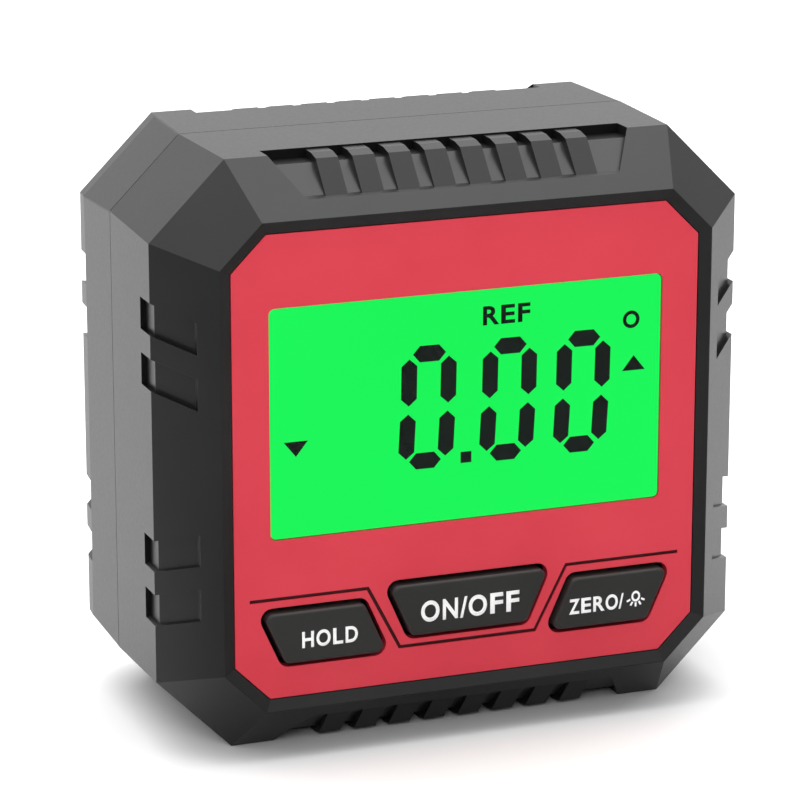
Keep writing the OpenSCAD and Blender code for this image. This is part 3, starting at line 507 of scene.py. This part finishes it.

# dark maroon on the floor of the engraved line: the right half of its route
line = {
    "route": ((22.2, -12.8), (10.288, -12.8), (7.028, -19.1)),
    "width": 0.35,
    "floor": 0.2 * mm,              # how deep the line is engraved
}
route = [Vector(p) for p in line["route"]]
route += [Vector((-p.x, p.y)) for p in reversed(route)]
bm = bmesh.new()
pairs = []
for i, point in enumerate(route):
    before = (point - route[i - 1]).normalized() if i else (route[1] - point).normalized()
    after = (route[i + 1] - point).normalized() if i + 1 < len(route) else before
    across = Vector((-before.y - after.y, before.x + after.x)) / (1 + before.dot(after)) * line["width"] / 2
    pairs.append([bm.verts.new((c.x, c.y, 0)) for c in (point - across, point + across)])
for (a, b), (c, d) in zip(pairs, pairs[1:]):
    bm.faces.new((a, b, d, c))
layInk(bm, (0, 0), panelFront + line["floor"])
newPiece("engraved_line_maroon", bm, lineMaroon, "housing")

# display: three zeros of pointed segments, a decimal point, a degree ring, two arrows and a word
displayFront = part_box("lcd_glass")[0].y
displayShift = 0.48, -0.38                  # undoes the slant view through the lens
digits = {
    "places": (0.17, 8.47, 16.15),          # shift of each digit to its place
    "half": 0.8,                            # half a segment's width
    "point": 0.7,                           # length of a segment's pointed ends
    "level": (((-5.8, 9.85), (-2.44, 9.83)), ((-6.19, -0.72), (-2.94, -0.74))),
    "upright": (((-6.15, 9.43), (-6.23, 4.8)), ((-2.13, 9.43), (-2.21, 4.8)),
                ((-6.28, 4.01), (-6.52, -0.45)), ((-2.26, 4.01), (-2.5, -0.45))),
    "dot": ((-0.18, -0.82), 0.55),          # centre and half side of the decimal point
}
bm = bmesh.new()
for left in digits["places"]:
    for start, end in digits["level"] + digits["upright"]:
        a, b = Vector(start), Vector(end)
        ahead = (b - a).normalized()
        across = Vector((-ahead.y, ahead.x)) * digits["half"]
        tip = ahead * digits["point"]
        outline = (a, a + tip + across, b - tip + across, b, b - tip - across, a + tip - across)
        bm.faces.new([bm.verts.new((p.x + left, p.y, 0)) for p in outline])
centre, half = digits["dot"]
dot = bmesh.ops.create_grid(bm, x_segments=1, y_segments=1, size=half)["verts"]
bmesh.ops.translate(bm, vec=(*centre, 0), verts=dot)
layInk(bm, displayShift, displayFront)
newPiece("display_digits", bm, segmentInk, "housing")

signs = {
    "degree": ((16.95, 11.26), 0.88, 0.36),                     # centre, radius and line of the ring
    "arrows": (((17.27, 6.9), 0.0), ((-17.45, 1.75), 180.0)),   # centres, and turns in degrees
    "width": 2.4, "height": 1.5,                                # of an arrow
    "ref": (1.5, 12.06, 6.37, 13.92),                           # box of the word
}
bm = bmesh.new()
centre, radius, width = signs["degree"]
addRing(bm, 32, radius, width)
bmesh.ops.translate(bm, vec=(*centre, 0), verts=bm.verts)
w, h = signs["width"] / 2, signs["height"] / 2
for centre, turn in signs["arrows"]:
    corners = [bm.verts.new(c) for c in ((-w, -h, 0), (w, -h, 0), (0, h, 0))]
    bm.faces.new(corners)
    bmesh.ops.rotate(bm, cent=(0, 0, 0), matrix=Matrix.Rotation(math.radians(turn), 3, "Z"), verts=corners)
    bmesh.ops.translate(bm, vec=(*centre, 0), verts=corners)
layInk(bm, displayShift, displayFront)
newPiece("display_signs", bm, segmentInk, "housing")
placeText("display_ref", "REF", signs["ref"], displayShift, displayFront, segmentInk, "housing")
print("display signs placed")


# studio: pale floor, a world with a light panel overhead and a fill lamp

studio = {
    "floor": 3.0,                   # side of the floor in metres
    "drop": 0.02 * mm,              # how far it lies under the gauge
    "paint": "#fcfcfc",
    "mirrored": ("#1c1c1c", "#ececec"),     # the floor as a glossy face sees it, before and behind the gauge
    "mirrorRange": (-0.02, -0.006),  # where along Y the one turns into the other, in metres
    "mirrorSide": 0.12,             # how much earlier it does so for each metre to the side
    "front": (0.04, 0.55),          # the world towards the camera, level and high up
    "frontRise": (0.15, 0.5),       # the heights of view between which it gets lighter, 1 being straight up
    "behind": 1.04,                 # the world behind the gauge
    "behindRange": (-0.1, 0.6),     # where along Y the front turns into it
    "overhead": 2.8,                # the light panel above the gauge
    "panelRise": (0.55, 0.95),      # the heights of view between which it gets to its full light
    "panelEnd": (-0.45, -0.1),      # where along Y it ends, a little in front of the gauge
    "lampPlace": (-0.3, -0.72, 0.5),
    "lampSize": 0.4,
    "lampPower": 1.8,
}
bm = bmesh.new()
bmesh.ops.create_grid(bm, x_segments=1, y_segments=1, size=studio["floor"] / 2)
bmesh.ops.translate(bm, vec=(0, 0, -studio["drop"]), verts=bm.verts)
mesh = bpy.data.meshes.new("floor")
bm.to_mesh(mesh)
bm.free()
floor = bpy.data.objects.new("floor", mesh)
bpy.context.scene.collection.objects.link(floor)

# painted studio floor: matt, and darker before the gauge where only a glossy face sees it
floorPaint, tree, shader, place = startMaterial("matt_pale_floor", Roughness=1.0, Specular_IOR_Level=0.0)
rays = addNode(tree, "ShaderNodeLightPath")
axes = addNode(tree, "ShaderNodeSeparateXYZ", {"Vector": place})
aside = addNode(tree, "ShaderNodeMath", {0: axes.outputs["X"]}, operation="ABSOLUTE")
reach = addNode(tree, "ShaderNodeMath", {0: aside.outputs[0], 1: studio["mirrorSide"], 2: axes.outputs["Y"]},
                operation="MULTIPLY_ADD")
along = addNode(tree, "ShaderNodeMapRange", {"Value": reach.outputs[0], "From Min": studio["mirrorRange"][0],
                                             "From Max": studio["mirrorRange"][1]})
glossSees = addNode(tree, "ShaderNodeMix", {"Factor": along.outputs["Result"],
                                            "A": srgb(studio["mirrored"][0]),
                                            "B": srgb(studio["mirrored"][1])}, data_type="RGBA")
colour = addNode(tree, "ShaderNodeMix", {"Factor": rays.outputs["Is Glossy Ray"], "A": srgb(studio["paint"]),
                                         "B": glossSees.outputs["Result"]}, data_type="RGBA")
tree.links.new(colour.outputs["Result"], shader.inputs["Base Color"])
mesh.materials.append(floorPaint)

# world: white to the camera and through glass
# as light it is white behind the gauge, brighter overhead and dim in front
world = bpy.data.worlds.new("studio")
bpy.context.scene.world = world
world.use_nodes = True
tree = world.node_tree
tree.nodes.clear()
rays = addNode(tree, "ShaderNodeLightPath")
heading = addNode(tree, "ShaderNodeTexCoord").outputs["Generated"]
axes = addNode(tree, "ShaderNodeSeparateXYZ", {"Vector": heading})
front = addNode(tree, "ShaderNodeMapRange", {"Value": axes.outputs["Z"], "From Min": studio["frontRise"][0],
                                             "From Max": studio["frontRise"][1],
                                             "To Min": studio["front"][0], "To Max": studio["front"][1]})
behind = addNode(tree, "ShaderNodeMapRange", {"Value": axes.outputs["Y"],
                                              "From Min": studio["behindRange"][0],
                                              "From Max": studio["behindRange"][1],
                                              "To Min": front.outputs["Result"], "To Max": studio["behind"]})
above = addNode(tree, "ShaderNodeMapRange", {"Value": axes.outputs["Z"], "From Min": studio["panelRise"][0],
                                             "From Max": studio["panelRise"][1],
                                             "To Min": 0.0, "To Max": studio["overhead"]})
panelEnd = addNode(tree, "ShaderNodeMapRange", {"Value": axes.outputs["Y"], "From Min": studio["panelEnd"][0],
                                                "From Max": studio["panelEnd"][1]})
panel = addNode(tree, "ShaderNodeMath", {0: above.outputs["Result"], 1: panelEnd.outputs["Result"]},
                operation="MULTIPLY")
light = addNode(tree, "ShaderNodeMath", {0: behind.outputs["Result"], 1: panel.outputs[0]}, operation="ADD")
seen = addNode(tree, "ShaderNodeMath", {0: rays.outputs["Is Camera Ray"],
                                        1: rays.outputs["Is Transmission Ray"]}, operation="MAXIMUM")
level = addNode(tree, "ShaderNodeMix", {"Factor": seen.outputs[0], "A": light.outputs[0], "B": 1.0},
                data_type="FLOAT")
sky = addNode(tree, "ShaderNodeBackground", {"Color": srgb("#ffffff"), "Strength": level.outputs[0]})
addNode(tree, "ShaderNodeOutputWorld", {"Surface": sky.outputs[0]})

# fill lamp: left of the camera, turned to the gauge's middle and not mirrored in it
lamp = bpy.data.lights.new("fill_lamp", "AREA")
lamp.shape = "SQUARE"
lamp.size = studio["lampSize"]
lamp.energy = studio["lampPower"]
holder = bpy.data.objects.new("fill_lamp", lamp)
holder.location = studio["lampPlace"]
holder.rotation_mode = "QUATERNION"
towards = Vector((0, 0, midHeight)) - Vector(studio["lampPlace"])
holder.rotation_quaternion = towards.to_track_quat("-Z", "Y")
holder.visible_glossy = False
bpy.context.scene.collection.objects.link(holder)
print("studio lit")

# camera at the photograph's angle
shot = {
    "azimuth": -20.75, "elevation": 15.74,      # in degrees
    "distance": 380.9, "aim": (-0.35, 1.5, 29.29),      # in mm
    "focal": 3821.7, "frame": 800,              # in pixels
    "sensor": 36.0,                             # in mm
    "clip": (0.01, 20.0),                       # in metres
}
turn, tilt = math.radians(shot["azimuth"]), math.radians(shot["elevation"])
back = Vector((math.sin(turn) * math.cos(tilt), -math.cos(turn) * math.cos(tilt), math.sin(tilt)))
lens = bpy.data.cameras.new("camera")
lens.sensor_width = shot["sensor"]
lens.lens = shot["focal"] * shot["sensor"] / shot["frame"]
lens.clip_start, lens.clip_end = shot["clip"]
camera = bpy.data.objects.new("camera", lens)
camera.location = (Vector(shot["aim"]) + back * shot["distance"]) * mm
camera.rotation_mode = "QUATERNION"
camera.rotation_quaternion = (-back).to_track_quat("-Z", "Y")
bpy.context.scene.collection.objects.link(camera)
bpy.context.scene.camera = camera
bpy.context.scene.view_settings.view_transform = "Standard"

print("scene ready")
